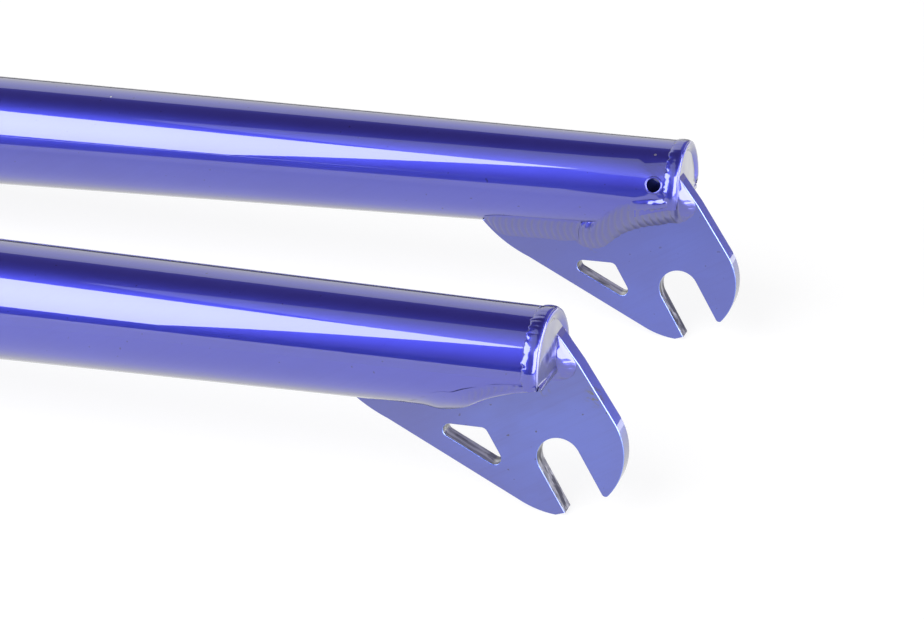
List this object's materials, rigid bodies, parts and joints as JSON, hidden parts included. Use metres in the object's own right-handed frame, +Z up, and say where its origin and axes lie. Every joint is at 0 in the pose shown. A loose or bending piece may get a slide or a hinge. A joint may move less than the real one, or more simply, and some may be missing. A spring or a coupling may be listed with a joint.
{
  "type": "rigid bicycle fork",
  "caption": "Rigid bicycle fork: round tapered blades bent in to a turned crown on a straight steerer, with coped, capped ends and slotted, windowed dropout plates.",
  "frame": {"origin": "middle of the fork's footprint on the surface that it lies on", "axes": "+X from the steerer's top end towards the dropouts, +Y towards the rider's right, +Z up, which is the rear of the fork as it lies face down"},
  "size_m": [0.4958, 0.1412, 0.0504],
  "materials": {
    "steerer_steel": "turned, unpainted",
    "crown_paint": "gloss candy blue, bare race seat",
    "blade_paint": "gloss candy blue",
    "plate_paint": "gloss candy blue, bare slot walls",
    "cap_paint": "gloss candy blue",
    "weld_paint": "gloss candy blue over weld ripples"
  },
  "bodies": {
    "root": {"steerer_tube": "steerer_steel", "crown": "crown_paint", "right_blade": "blade_paint", "right_dropout": "plate_paint", "right_end_cap": "cap_paint", "right_rim_weld": "weld_paint", "right_outer_cap_weld": "weld_paint", "right_inner_cap_weld": "weld_paint", "right_outer_cope_weld": "weld_paint", "right_inner_cope_weld": "weld_paint", "right_outer_seam_weld": "weld_paint", "right_inner_seam_weld": "weld_paint", "right_crown_weld": "weld_paint", "left_blade": "blade_paint", "left_dropout": "plate_paint", "left_end_cap": "cap_paint", "left_rim_weld": "weld_paint", "left_outer_cap_weld": "weld_paint", "left_inner_cap_weld": "weld_paint", "left_outer_cope_weld": "weld_paint", "left_inner_cope_weld": "weld_paint", "left_outer_seam_weld": "weld_paint", "left_inner_seam_weld": "weld_paint", "left_crown_weld": "weld_paint"}
  },
  "joints": []
}
